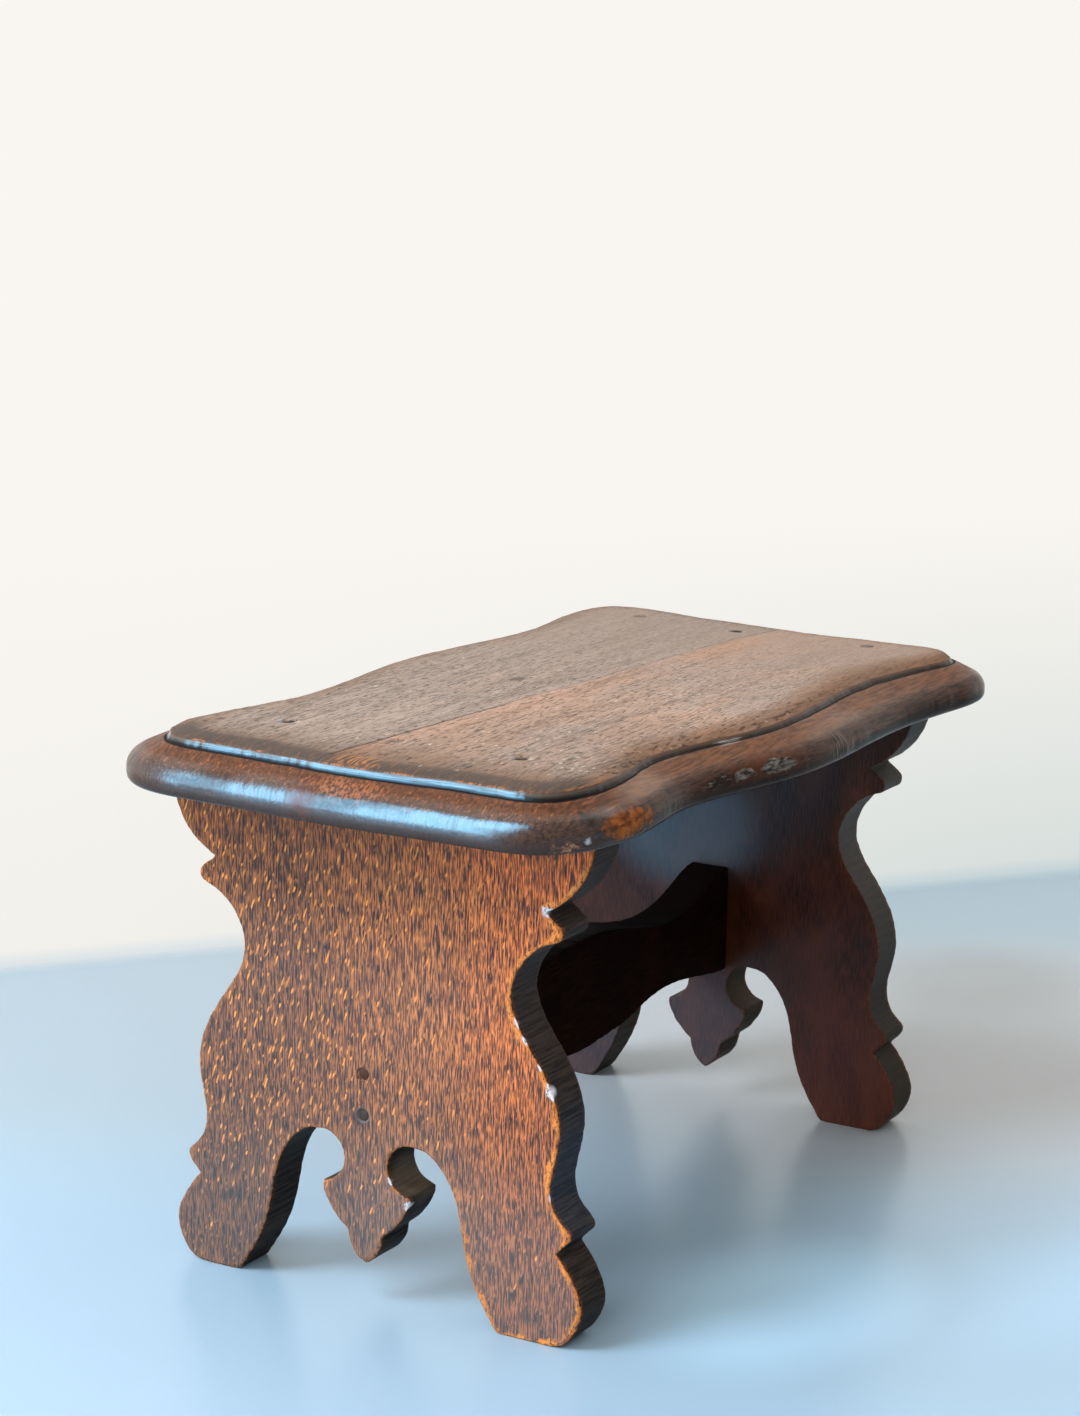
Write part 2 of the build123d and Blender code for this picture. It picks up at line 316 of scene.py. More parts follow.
def arc_line(start, middle, end, step=0.7):
    """Arc of a circle through three points: its centre is as far from all three."""
    start, middle, end = (np.array(point, float) for point in (start, middle, end))
    sides = 2 * np.array([middle - start, end - start])
    centre = np.linalg.solve(sides, [middle @ middle - start @ start, end @ end - start @ start])
    radius = np.linalg.norm(start - centre)
    turns = [math.atan2(*(point - centre)[::-1]) for point in (start, middle, end)]
    sweep, check = (turns[2] - turns[0]) % (2 * math.pi), (turns[1] - turns[0]) % (2 * math.pi)
    if check > sweep:
        sweep -= 2 * math.pi
    angle = turns[0] + np.linspace(0, 1, max(4, int(abs(sweep) * radius / step))) * sweep
    return centre + radius * np.column_stack([np.cos(angle), np.sin(angle)])


def even_loop(line, step):
    """The closed line again, in points an even step apart."""
    ring = np.vstack([line, line[:1]])
    run = np.concatenate([[0.0], np.cumsum(np.linalg.norm(np.diff(ring, axis=0), axis=1))])
    at = np.arange(int(run[-1] / step)) * run[-1] / int(run[-1] / step)
    return np.column_stack([np.interp(at, run, ring[:, i]) for i in range(ring.shape[1])])


def ease_loop(values, spread):
    """Soften a closed row of values: each becomes a bell-weighted mean of its neighbours."""
    count = len(values)
    far = np.minimum(np.arange(count), count - np.arange(count))
    bell = np.exp(-0.5 * (far / spread) ** 2)
    return np.fft.ifft(np.fft.fft(values, axis=0).T * np.fft.fft(bell / bell.sum())).real.T


def wander(count, length, waves, seed):
    """A closed row of smooth random numbers between about -1 and 1: a sum of cosines round the
    loop, with wavelengths between the two given, each with a random phase and share."""
    draw = np.random.default_rng(seed)
    turns = draw.integers(max(1, int(length / waves[1])), int(length / waves[0]) + 2, 24)
    phases, shares = draw.uniform(0, 2 * math.pi, 24), draw.uniform(0.3, 1.0, 24)
    at = np.arange(count)[:, None] / count
    total = (np.cos(2 * math.pi * turns * at + phases) * shares).sum(1)
    return total / (2.2 * math.sqrt((shares**2).sum() / 2))


def loop_normals(loop):
    """Outward unit normals of a loop that runs counter-clockwise."""
    run = np.roll(loop, -1, axis=0) - np.roll(loop, 1, axis=0)
    return np.column_stack([run[:, 1], -run[:, 0]]) / np.linalg.norm(run, axis=1)[:, None]


def loop_bend(loop, step):
    """How sharply the loop turns, in radians per millimetre, positive where it bulges."""
    way = np.roll(loop, -1, axis=0) - loop
    turn = np.arctan2(way[:, 1], way[:, 0])
    return ((turn - np.roll(turn, 1) + math.pi) % (2 * math.pi) - math.pi) / step


def inside(points, loop):
    """Which points lie in the loop: a ray along the first axis crosses its sides an odd number of
    times."""
    first, second = loop, np.roll(loop, -1, axis=0)
    odd = np.zeros(len(points), bool)
    for part in np.array_split(np.arange(len(loop)), 12):
        a, b = first[part], second[part]
        rises = (a[:, 1] > points[:, 1:2]) != (b[:, 1] > points[:, 1:2])
        with np.errstate(divide="ignore", invalid="ignore"):
            cross = a[:, 0] + (points[:, 1:2] - a[:, 1]) * (b[:, 0] - a[:, 0]) / (b[:, 1] - a[:, 1])
        odd ^= ((rises & (points[:, 0:1] < cross)).sum(1) % 2).astype(bool)
    return odd


def reach_to(points, line):
    """How far each point is from the nearest point of a line."""
    return np.concatenate([np.min(np.linalg.norm(part[:, None] - line[None], axis=2), axis=1)
                           for part in np.array_split(points, 20)])


def fill_loop(loop, extra, gap):
    """Fill a flat loop with triangles that also meet the extra points. Returns all its points, the
    loop's first, and the triangles, counter-clockwise."""
    points = np.vstack([loop, extra[inside(extra, loop) & (reach_to(extra, loop[::2]) > gap)]])
    sides = [(i, (i + 1) % len(loop)) for i in range(len(loop))]
    verts, _, tris, *_ = delaunay_2d_cdt([Vector(p) for p in points], sides, [], 1, 1e-6)
    if len(verts) != len(points):
        raise ValueError("two points of a flat fill fell together")
    return points, np.array([tuple(t) for t in tris])


def band_quads(rows, count):
    """The faces between closed rows of so many points each."""
    at = np.arange(count)
    low_sheen_and_red, above = (at, (at + 1) % count), ((at + 1) % count + count, at + count)
    return np.vstack([np.column_stack([*low_sheen_and_red, *above]) + row * count for row in range(rows - 1)])


def place_shares(shares, wide, high, middle, side):
    return [(middle + side * x * wide, y * high) for x, y in shares]


def board_side(side):
    """One side of a board's outline, from the seat down the outer edge, over the foot and up and
    round to the tip of the pendant."""
    outer = [place_shares(part, foot_half, base_high, base_middle_y, side)
             for part in (crown, lip, waist, bump, foot)]
    inner = [place_shares(part, half, arch_high, arch_middle, side)
             for part, half in ((leg, arch_half), (arch_eye, pendant_half), (shoulder, pendant_half),
                                ([pendant_drop], pendant_half))]
    cusp = (arch_middle + side * pendant_half, inner[1][-1][1] - cusp_flat)
    tip = (arch_middle, pendant_clear)
    return np.vstack([
        arc_line(*outer[0]), arc_line(*outer[1]), smooth_line([outer[1][-1], *outer[2], outer[3][0]]),
        arc_line(*outer[3]), smooth_line(outer[4], (side, -1), (-side, 0), 1.45),
        smooth_line([*inner[0], inner[1][0]], (-2 * side, 3), (-side, 0), 1.28),
        arc_line(*inner[1]), arc_line(cusp, *inner[2]), arc_line(inner[2][-1], inner[3][0], tip)])


board_step = 0.85
arris_depth = 0.9  # how deep a worn arris goes, as a share of its width
pocket_deep, pocket_half = 0.75, 2.9  # the hole that a nail head lies in
fine_step = 0.3
board_loop = even_loop(np.vstack([board_side(1), board_side(-1)[::-1]])[::-1], fine_step)
board_loop = even_loop(ease_loop(board_loop, 1.6), board_step)


def oval_ring(count, power=2):
    """Points round a unit circle or, at a higher power, round an oval that is squarer: their distance
    from the middle is (|cos|^power + |sin|^power)^(-1/power)."""
    turn = np.linspace(0, 2 * math.pi, count, endpoint=False)
    way = np.column_stack([np.cos(turn), np.sin(turn)])
    return way * (np.abs(way) ** power).sum(1)[:, None] ** (-1 / power)


def grid_points(low, high, step, lean=0.0):
    """A net of points between two corners; every second row is set off by the lean."""
    x, y = np.meshgrid(np.arange(low[0], high[0], step), np.arange(low[1], high[1], step))
    x = x + lean * (np.arange(len(x)) % 2)[:, None]
    return np.column_stack([x.ravel(), y.ravel()])


def shape_board(name, loop, step, thick, to_place, handed, seed, limits, chips=(), knocks=(), pockets=(),
                wear=1.0):
    """A sawn board's whole skin. A section goes from one flat over a worn arris, across the sawn edge
    and over the other arris, and is carried round the outline; the flats are filled with triangles.
    The arris is a quarter of an ellipse. Chips and knocks are round bell-shaped dents in it, and a
    pocket is a round hole for a nail head. to_place turns outline and depth into a place."""
    count = len(loop)

    def wave(short, long, turn):
        return wander(count, count * step, (short, long), seed + turn)

    normals = ease_loop(loop_normals(loop), 1.0)
    normals /= np.linalg.norm(normals, axis=1)[:, None]
    bend = ease_loop(loop_bend(loop, step), 1.2)
    bulge = np.clip(bend * 6.0, 0.0, 1.0)
    limit = np.where(bend > 0.02, 0.72 / np.maximum(bend, 0.02), 9.0)
    wobble = 0.14 * wave(5, 40, 0) + 0.05 * wave(1.9, 4, 1)
    worn = 0.62 + 0.22 * wave(12, 90, 2) + 0.16 * wave(2.5, 7, 3)
    rear = 0.5 + 0.2 * wave(4, 50, 4) + 0.4 * bulge
    dent, chipped = np.zeros(count), np.zeros(count)
    for i, (p, q, size, deep) in enumerate([*chips, *knocks]):
        far = ((loop - (p, q)) ** 2).sum(1)
        dent = np.maximum(dent, deep * np.exp(-far / size**2))
        if i < len(chips):
            chipped = np.maximum(chipped, np.exp(-far / (1.35 * size) ** 2))
    worn_front = np.minimum(np.clip(wear * worn + 0.7 * bulge, 0.3, 1.7), limit) + dent
    worn_rear = np.minimum(np.clip(wear * rear, 0.3, 1.2), limit)
    line = loop + normals * np.minimum(wobble, 0.12)[:, None]
    turn, shares = np.linspace(0, math.pi / 2, 6), np.linspace(0, 1, 9)[1:-1]
    rub = np.where((turn > 0) & (turn < math.pi / 2), np.abs(np.sin(2 * turn)) ** 0.7, 0.25)
    insets = [worn_front * (1 - math.sin(t)) for t in turn]
    depths = [worn_front * arris_depth * (1 - math.cos(t)) for t in turn]
    insets += [0.1 * math.sin(math.pi * share) + np.zeros(count) for share in shares]
    depths += [depths[5] + share * (thick - arris_depth * worn_rear - depths[5]) for share in shares]
    insets += [worn_rear * (1 - math.sin(t)) for t in turn[::-1]]
    depths += [thick - worn_rear * arris_depth * (1 - math.cos(t)) for t in turn[::-1]]
    insets, depths = np.array(insets), np.array(depths)
    edge = np.concatenate([np.sin(turn) ** 3, np.ones(len(shares)), np.sin(turn[::-1]) ** 3])
    arris = np.concatenate([rub, np.zeros(len(shares)), rub[::-1]])
    bite = np.concatenate([0.3 + 0.7 * np.sin(2 * turn), 0.6 * np.exp(-(shares / 0.12) ** 2), np.zeros(6)])
    flat = np.clip(line - normals * insets[:, :, None], *limits)
    band = np.dstack([flat, depths]).reshape(-1, 3)
    at, rows = np.arange(count), len(insets)
    quads = band_quads(rows, count)
    points, faces = [band], (quads[:, ::-1] if handed > 0 else quads).tolist()
    marks = {"edge": [np.repeat(edge, count)], "arris": [np.repeat(arris, count)],
             "chip": [np.outer(bite, chipped).ravel()], "inward": [np.zeros(len(band))]}
    net = grid_points(loop.min(0) + (0, 1.5), loop.max(0), 3.1)
    used = len(band)
    for row, sign, pocket in ((0, -handed, pocket_deep if pockets else 0), (rows - 1, handed, 0)):
        extra, holes = net, pockets if pocket else ()
        for place in holes:
            extra = extra[np.hypot(*(extra - place).T) > pocket_half + 1.7]
        extra = np.vstack([extra, *(place + radius * oval_ring(22) for place in holes
                                    for radius in (1.2, 2.15, 2.5, pocket_half, 3.8))])
        filled, tris = fill_loop(flat[row], extra, 0.8)
        more = filled[count:]
        sunk = np.zeros(len(more))
        for place in holes:
            sunk = np.maximum(sunk, np.clip((pocket_half - np.hypot(*(more - place).T)) / 0.5, 0, 1))
        points.append(np.column_stack([more, (0.0 if row == 0 else thick) + pocket * sunk]))
        index = np.concatenate([row * count + at, used + np.arange(len(more))])
        used += len(more)
        tris = index[tris]
        faces += (tris if sign > 0 else tris[:, ::-1]).tolist()
        for mark in ("edge", "arris", "chip"):
            marks[mark].append(np.zeros(len(more)))
        marks["inward"].append(reach_to(more, flat[row]))
    points = np.vstack(points)
    piece = make_piece(name, to_place(*points.T), faces, {k: np.concatenate(v) for k, v in marks.items()})
    piece.data.polygons.foreach_set("use_smooth", np.arange(len(faces)) < len(quads))
    return piece


near_chips = [(-53.2, 119, 1.7, 0.7), (-57, 113, 1.5, 0.6), (-69, 96.4, 2, 1.1), (-67.8, 56.1, 1.6, 0.7),
              (-66.6, 163.5, 1.3, 0.6), (-63.5, 104, 1.2, 0.4), (-10.4, 41, 1.2, 0.5), (-3, 50, 1.1, 0.5)]
near_knocks = [(-74, 22, 6, 0.6), (-80, 10, 7, 0.5), (-70.5, 85, 5, 0.4), (28.3, 43, 2, 0.5),
               (-60, 158, 5, 0.5), (9, 14.6, 3, 0.4), (70, 2, 8, 0.4)]
far_chips = [(-68, 60, 1.4, 0.5), (60, 120, 1.5, 0.5)]
far_knocks = [(-74, 22, 7, 0.5), (75, 6, 7, 0.5)]
board_limits = (np.array([-500.0, 0.0]), np.array([500.0, base_high]))


def stand_board(name, way, seed, chips, knocks):
    """An end board whose thickness goes inwards from its outer flat; way is 1 at the left end."""
    return shape_board(
        name, board_loop, board_step, board_thick,
        lambda p, q, depth: np.column_stack([base_middle_x - way * base_half + way * depth, p, q]),
        way, seed, board_limits, chips, knocks, pin_places)


end_left = stand_board("board_left", 1, 11, near_chips, near_knocks)
end_right = stand_board("board_right", -1, 31, far_chips, far_knocks)


def noise(vector, detail=3.0, rough=0.55, twist=0.0):
    return node("TexNoise", {"Vector": vector, "Scale": 1, "Detail": detail, "Roughness": rough,
                             "Distortion": twist}).outputs["Fac"]


def pattern(scale, turn=(0, 0, 0), **looks):
    """Noise in the object's own place: so many cells in a millimetre along each axis, turned."""
    place = node("TexCoord").outputs["Object"]
    cells = node("Mapping", {"Vector": place, "Rotation": turn, "Scale": [s / MM for s in scale]})
    return noise(cells.outputs[0], **looks)


def marked(*marks):
    """The numbers that a mesh carries for its points."""
    return [node("Attribute", attribute_name=mark).outputs["Fac"] for mark in marks]


def finish(face, rough, index, relief, strength, deep, coat=(0, 0, 1.5), metallic=0):
    """End the material: a surface of this colour, roughness and refractive index, with its relief as
    a bump so many millimetres deep, and a coat of this weight, roughness and index."""
    bump = node("Bump", {"Height": relief, "Strength": strength, "Distance": deep * MM}).outputs[0]
    skin = node("BsdfPrincipled", {
        "Base Color": face, "Metallic": metallic, "Roughness": rough, "IOR": index, "Normal": bump,
        "Coat Weight": coat[0], "Coat Roughness": coat[1], "Coat IOR": coat[2], "Coat Normal": bump})
    node("OutputMaterial", {0: skin.outputs[0]})


def flecks(across, along, size, spans, chance, keep=0.5):
    """Small ovals, one in some cells of a net. across and along are places in metres, size is the
    cell in millimetres and spans the share of it that an oval's middle and whole reach to."""
    net = node("CombineXYZ", {0: times(across, 1000 / size[0]), 1: times(along, 1000 / size[1])})
    cell = node("TexVoronoi", {"Vector": net.outputs[0], "Scale": 1, "Randomness": 0.95},
                voronoi_dimensions="2D").outputs
    drawn = node("SeparateColor", {0: cell["Color"]}).outputs
    return times(ramp(cell["Distance"], spans[1], spans[0]), maths("LESS_THAN", drawn[0], chance),
                 maths("MULTIPLY_ADD", drawn[1], 1 - keep, keep))


def board_wood(name, outer_x, way, cut_dark, cut_light, far):
    """Straight-grained stained wood: fine fibres and pores along the height, bright slanted ray
    flecks, darker stain in clouds, painted light under the seat and a painted sheen lower down,
    sawn edges with saw marks and painted sheen, and bare wood on the arrises. far is 1 for the board
    at the far end, whose inner face gets a painted bluish sheen and a brighter reddish patch, and
    whose edges darken below."""
    material = new_material(name)
    place = node("TexCoord").outputs["Object"]
    length, side, height = node("SeparateXYZ", {0: place}).outputs
    edge, arris, chip, inward = marked("edge", "arris", "chip", "inward")
    inner = ramp(times(maths("SUBTRACT", length, outer_x * MM), way), 0.009, 0.0185)
    fibre = pattern((1.75, 1.75, 0.15), detail=1, rough=0.6)
    streak = pattern((0.4, 0.4, 0.02), detail=3)
    pores = pattern((1.8, 1.8, 0.27), detail=0.4)
    ticks = pattern((1.75, 1.75, 0.3), detail=0.4)
    cloud = pattern((0.035, 0.035, 0.02), detail=4, twist=0.6)
    mottle = pattern((0.25, 0.25, 0.11), detail=4)

    grain = plus(times(fibre, 0.9), times(streak, 0.1))
    leaning = maths("MULTIPLY_ADD", height, 0.3, side)
    wanted = maths("MULTIPLY_ADD", times(ramp(side, -0.05, 0.045), ramp(height, 0, 0.1)), 0.66, 0.03)
    rising = maths("MULTIPLY_ADD", mottle, 0.013, height)
    fleck = flecks(leaning, rising, (2.4, 7.8), (0.09, 0.22), wanted)
    fine = flecks(leaning, height, (2, 5.2), (0.1, 0.22), 0.34, 0.3)
    # painted sheen: a grey haze over the lower part of the board, strongest near its feet
    rust_bloom_and_sheen = plus(times(ramp(height, 0.165, 0.12, 0, 0.45), ramp(side, -0.065, -0.01, 0.5, 1)),
                 times(ramp(height, 0.085, 0.03, 0, 0.65), ramp(side, 0.05, -0.02, 0.45, 1)))
    crack = spot(place, (outer_x, 35, 112), (4, 0.55, 12), 0.6)
    face = layers(
        (0.034, 0.01, 0.004),
        (ramp(grain, 0.38, 0.5), (0.235, 0.07, 0.018)),
        (ramp(grain, 0.5, 0.62), (0.62, 0.192, 0.05)),
        (ramp(ticks, 0.6, 0.7, 0, 0.7), (0.72, 0.24, 0.06)),
        (ramp(pores, 0.42, 0.32, 0, 0.6), (0.045, 0.015, 0.008)),
        # painted light: lighter and warmer near the top, under the seat, where its overhang shades the
        # board
        (ramp(height, 0.16, 0.186), (1.55, 1.18, 0.7), "MULTIPLY"),
        (ramp(side, -0.015, -0.06), (1.3, 1.08, 0.92), "MULTIPLY"),
        ((ramp(side, -0.035, 0.055), ramp(height, 0.035, 0.105, 0.55, 1)), (0.56, 0.59, 0.65), "MULTIPLY"),
        (ramp(height, 0.12, 0.02), (0.43, 0.5, 0.6), "MULTIPLY"),
        (ramp(cloud, 0.56, 0.36, 0, 0.45), (0.58, 0.6, 0.66), "MULTIPLY"),
        (ramp(mottle, 0.44, 0.28, 0, 0.15), (0.52, 0.56, 0.66), "MULTIPLY"),
        ((fine, 0.5), (0.68, 0.215, 0.046)),
        ((fleck, 0.95), (0.98, 0.325, 0.048)),
        # the painted sheen
        (rust_bloom_and_sheen, (0.066, 0.066, 0.068), "ADD"),
        ((crack, 0.85), (0.03, 0.02, 0.018)))

    # painted sheen low on the inner face: bluish on the left and the pendant, with a redder tint on the
    # right leg
    low_sheen_and_red = blend(ramp(side, -0.012, -0.035), (0.022, 0.03, 0.036), (0.03, 0.01, 0.008))
    behind_x = outer_x + way * board_thick
    back = layers(
        (0.02, 0.006, 0.003),
        (ramp(fibre, 0.35, 0.65), (0.058, 0.014, 0.006)),
        (ramp(cloud, 0.4, 0.62, 0, 0.6), (0.08, 0.02, 0.008)),
        (ramp(height, 0.075, 0.04, 0, 1), low_sheen_and_red, "ADD"),
        # on the far board only: a painted bluish sheen, and a brighter reddish patch
        ((spot(place, (behind_x, 24, 127), (20, 46, 38), 0.45), far), (0.03, 0.07, 0.09), "ADD"),
        ((spot(place, (behind_x, -62, 138), (20, 15, 40), 0.3), far), (0.05, 0.012, 0.003), "ADD"))
    saw = pattern((0.05, 1, 1), detail=4, rough=0.7)
    cut = layers(
        cut_dark,
        (ramp(saw, 0.35, 0.65), cut_light),
        (spot(place, (outer_x + 12 * way, -4, 48), (16, 12, 13), 0.4), (0.095, 0.072, 0.052), "ADD"),
        # painted sheen on the right-hand edges: bluish low down, olive higher up
        ((ramp(side, -0.045, -0.06), ramp(height, 0.1, 0.07), ramp(height, 0.035, 0.05)),
         (0.006, 0.014, 0.026), "ADD"),
        ((ramp(side, -0.02, -0.04), ramp(height, 0.085, 0.115)), (0.014, 0.01, 0.01), "ADD"),
        (ramp(height, 0.15, 0.045, 0, far), (0.42, 0.36, 0.31), "MULTIPLY"))
    bare_noise = pattern((0.9, 0.9, 0.55), detail=3, rough=0.7)
    outer = maths("MULTIPLY_ADD", inner, -0.85, 1)
    bare = times(arris, ramp(bare_noise, 0.45, 0.57), outer, ramp(side, 0.06, -0.05, 0.6, 1))
    ragged_in = maths("MULTIPLY_ADD", mottle, 10, inward)
    rubbed_off = times(ramp(ragged_in, 6.4, 4.9), rest(edge), rest(inner),
                       ramp(bare_noise, 0.4, 0.5), ramp(side, -0.02, -0.05, 0.08, 1),
                       ramp(height, 0.186, 0.176))
    halo = most(spot(place, (outer_x, 11.2, 72.6), (4, 4.6, 5.6), 0.35),
                times(spot(place, (outer_x, 10, 88.9), (4, 3.4, 4.2), 0.2), 0.45),
                times(spot(place, (outer_x, 10.8, 80.5), (4, 1.4, 9), 0.2), 0.6))
    pin = (outer_x, *pin_places[0])
    rim = times(spot(place, pin, (4, 3.5, 3.5), 0.78), rest(spot(place, pin, (4, 2.7, 2.7), 0.8)))
    face = layers(
        face,
        (inner, back),
        (edge, cut),
        (rubbed_off, (0.8, 0.26, 0.048)),
        (bare, (0.6, 0.185, 0.04)),
        ((ramp(chip, 0.08, 0.28), ramp(bare_noise, 0.33, 0.43)), (0.8, 0.78, 0.82)),
        ((halo, 0.85), (0.035, 0.028, 0.028)),
        ((rim, 0.7), (0.17, 0.15, 0.145)))
    relief = plus(times(fibre, 0.7), times(pores, 0.6), times(fleck, 0.12))
    relief = blend(edge, relief, times(saw, 1.2))
    polish = times(rest(edge), ramp(inner, 0, 1, 0.18, 0.1))
    rough = layers(
        ramp(fibre, 0.3, 0.7, 0.42, 0.54),
        (inner, ramp(fibre, 0.3, 0.7, 0.22, 0.3)),
        (edge, ramp(saw, 0.3, 0.7, 0.4, 0.55)))
    finish(face, rough, 1.1, relief, 0.5, 0.3, (polish, 0.3, 1.6))
    return material


near_cut = ((0.01, 0.008, 0.0075), (0.046, 0.035, 0.029), 0)
far_cut = ((0.066, 0.062, 0.056), (0.092, 0.087, 0.079), 1)
for piece, replaced, way, cuts in ((end_left, "end_board_left", 1, near_cut),
                                   (end_right, "end_board_right", -1, far_cut)):
    outer_x = base_middle_x - way * base_half
    piece.data.materials.append(board_wood(piece.name + "_wood", outer_x, way, *cuts))
    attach(piece, "root")
    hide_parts(replaced)


# Stretcher: a darker board of the same wood, on edge between the two end boards and waved above
# and below. Its ends butt against their inner faces and the nails through the boards hold it.
rail_thick, rail_low, rail_deep = 18.0, 59.5, 49.5
rail_half = base_half - board_thick
rail_top = [(0, 0.955), (0.19, 0.92), (0.36, 0.825), (0.55, 0.75), (0.66, 0.76), (0.79, 0.835),
            (0.9, 0.945), (1, 1)]
rail_under = [(0, 0), (0.13, 0.02), (0.29, 0.06), (0.41, 0.13), (0.55, 0.175), (0.69, 0.155), (0.82, 0.105),
              (1, 0.05)]
rail_step = 1.2


def rail_edge(shares):
    """A waved edge of the stretcher, mirrored about its middle, from its left to its right end."""
    half = np.array(shares) * (rail_half, rail_deep) + (0, rail_low)
    return smooth_line(np.vstack([half[:0:-1] * (-1, 1), half]) + (base_middle_x, 0))


def straight(start, end, step=0.5):
    return np.linspace(start, end, max(2, int(np.linalg.norm(np.subtract(end, start)) / step)))


upper, lower = rail_edge(rail_top), rail_edge(rail_under)
rail_loop = np.vstack([lower, straight(lower[-1], upper[-1])[1:-1],
                       upper[::-1], straight(upper[0], lower[0])[1:-1]])
rail_loop = even_loop(ease_loop(even_loop(rail_loop, fine_step), 1.2), rail_step)
rail_ends = (np.array([base_middle_x - rail_half, 0.0]), np.array([base_middle_x + rail_half, 500.0]))
rail = shape_board(
    "stretcher_board", rail_loop, rail_step, rail_thick,
    lambda p, q, depth: np.column_stack([p, arch_middle - rail_thick / 2 + depth, q]),
    -1, 51, rail_ends, wear=0.8)
material = new_material("stretcher_wood")
fibre = pattern((0.08, 1.8, 1.8), detail=5, rough=0.6)
cloud = pattern((0.02, 0.05, 0.05), detail=3)
edge, = marked("edge")
face = layers(
    (0.005, 0.0022, 0.0016),
    (ramp(fibre, 0.35, 0.65), (0.02, 0.0064, 0.004)),
    (ramp(cloud, 0.62, 0.4, 0, 0.6), (0.004, 0.0025, 0.002)),
    ((edge, 0.7), (0.008, 0.006, 0.005)))
finish(face, ramp(cloud, 0.3, 0.7, 0.42, 0.55), 1.04, fibre, 0.3, 0.3)
rail.data.materials.append(material)
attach(rail, "root")
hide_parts("stretcher")


# Stretcher nails: two small round-headed iron nails through each end board into the stretcher's
# end, driven a little under the surface. The head is low and domed and its shank square.
def driven_nails(places, heads, shank, length, tip, count=28):
    """Nails as surfaces of angle and distance along a section. The section starts at the middle of
    the head, goes over its dome and rim, and down the shank to the point. heads gives the half
    width, half height, squareness (2 is round), dome and thickness of each head."""
    wide, high, square, dome, thick = heads
    head, box = oval_ring(count, square) * (wide, high), oval_ring(count, 8)
    section = [(0.02, 0), (0.35, 0.1), (0.7, 0.35), (0.9, 0.7), (1, 1.1)]
    points, faces, at, start = [], [], np.arange(count), 0
    for middle, into, across, upwards, seed in places:
        draw = np.random.default_rng(seed)
        tilt = draw.uniform(-0.05, 0.05, 2)
        lumps = 1 + 0.03 * draw.standard_normal(count)
        rings = []
        for share, fall in section:
            flat = share * head * lumps[:, None]
            rings.append((*flat.T, dome * fall + flat @ tilt))
        rings.append((*flat.T, np.full(count, thick)))
        for size, deep in ((shank / 2, thick), (shank / 2, length * 0.6), (tip / 2, length)):
            rings.append((*(size * box).T, np.full(count, deep)))
        ways = np.array([across, upwards, into], float)
        points += [middle + np.column_stack(ring) @ ways for ring in rings]
        flip = np.dot(np.cross(across, upwards), into) > 0
        quads, order = band_quads(len(rings), count) + start, -1 if flip else 1
        faces += quads[:, ::order].tolist()
        faces.append((start + at)[::-order].tolist())
        faces.append((start + (len(rings) - 1) * count + at)[::order].tolist())
        start += len(rings) * count
    return np.vstack(points), faces


def iron(name, rust, grey, bright, grown_over, wood):
    """Dark oxidised iron: brown-black, with a duller rusty bloom and small hammer marks. Heads at the
    grown_over places lie under old wax and dirt, in the colour of the wood."""
    material = new_material(name)
    rust_bloom_and_sheen = pattern((0.9, 0.9, 0.9), detail=5, rough=0.7)
    place = node("TexCoord").outputs["Object"]
    paint = blend(ramp(rust_bloom_and_sheen, 0.4, 0.65), grey, rust)
    for centre in grown_over:
        paint = blend(times(spot(place, centre, (9, 6, 6), 0.8), 0.95), paint, wood)
    finish(paint, ramp(rust_bloom_and_sheen, 0.35, 0.65, 0.42, 0.65), 1.2, rust_bloom_and_sheen, 0.3, 0.2, metallic=bright)
    return material


pin_sunk = 0.35
pins = [((base_middle_x + side * (base_half - pin_sunk), y, z), (-side, 0, 0), (0, 1, 0), (0, 0, 1), 5 + i)
        for side in (-1, 1) for i, (y, z) in enumerate(pin_places)]
points, faces = driven_nails(pins, (2.2, 2.2, 2.0, 0.35, 1.2), 2.0, 40.0, 0.6)
pin_heads = make_piece("stretcher_pins", points, faces)
hidden = [(base_middle_x + side * base_half, *pin_places[1]) for side in (-1, 1)]
pin_heads.data.materials.append(iron("pin_iron", (0.06, 0.03, 0.018), (0.05, 0.038, 0.032), 0.2, hidden,
                                     (0.07, 0.026, 0.013)))
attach(pin_heads, "root")
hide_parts("stretcher_nails")


# Seat: two wooden boards glued edge to edge, moulded as one by hand and worn. A rounded nose rises
# in a slope to a small step, and the flat field above it falls a little at its rim. It is shaped
# whole and then parted along the glued joint, which has opened near the left end.
seat_half = (186.2, 109.75)
seat_thick = 21.0
seat_top = base_high + seat_thick
under_round, nose_round, nose_wide = 3.0, 8.0, 13.0
joint_left, joint_right = np.array([-186.2, 11.8]), np.array([186.2, -10.2])
joint_run = (joint_right - joint_left) / np.linalg.norm(joint_right - joint_left)
joint_side = np.array([-joint_run[1], joint_run[0]])
seat_points = [(-1, -0.056), (-0.982, 0.498), (-0.945, 0.819), (-0.798, 0.991), (-0.489, 0.899),
               (0.032, 0.936), (0.52, 0.864), (0.757, 0.911), (0.978, 0.832), (0.992, 0.497),
               (0.989, -0.065), (0.962, -0.653), (0.896, -0.95), (0.679, -0.987), (0.377, -0.961),
               (-0.142, -0.975), (-0.513, -0.88), (-0.746, -0.92), (-0.972, -0.778), (-0.997, -0.514)]
